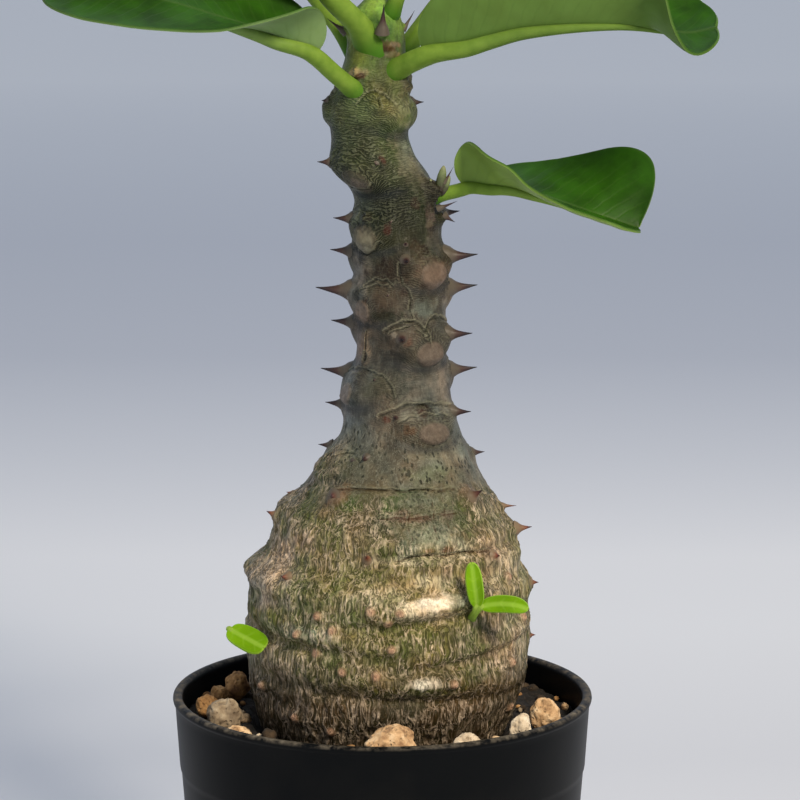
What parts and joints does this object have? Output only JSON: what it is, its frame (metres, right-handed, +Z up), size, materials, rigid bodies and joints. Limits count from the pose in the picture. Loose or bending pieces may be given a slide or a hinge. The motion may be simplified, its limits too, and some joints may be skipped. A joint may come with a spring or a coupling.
{
  "type": "potted pachypodium windsorii",
  "caption": "Spiny succulent with a swollen caudex, an upright stem and a crown of long leaves, rooted in grit in a round tapered nursery pot.",
  "frame": {"origin": "centre of the pot's flat underside", "axes": "+Z up along the pot's axis; -Y faces the viewer of the picture and +X is to that viewer's right"},
  "size_m": [0.1375, 0.114, 0.2779],
  "materials": {
    "pot_plastic": "satin moulded black polypropylene, dusty and worn along the lip",
    "substrate": "dry pumice and fired-clay grains over dark fines",
    "bark": "living grey-green bark, fibrous and cracked on the caudex, finely wrinkled above",
    "leaf": "waxy green leaf, glossier above than below",
    "sprout": "thin bright young leaf"
  },
  "bodies": {
    "root": {"pot": "pot_plastic", "soil": "substrate", "trunk": "bark", "leaf_left": "leaf", "leaf_right": "leaf", "leaf_upper_left": "leaf", "leaf_back_left": "leaf", "leaf_back_right": "leaf", "leaf_back": "leaf", "leaf_young_right": "leaf", "leaf_young_centre": "leaf", "leaf_side_shoot": "leaf", "sprout_left": "sprout", "sprout_right": "sprout"}
  },
  "joints": []
}
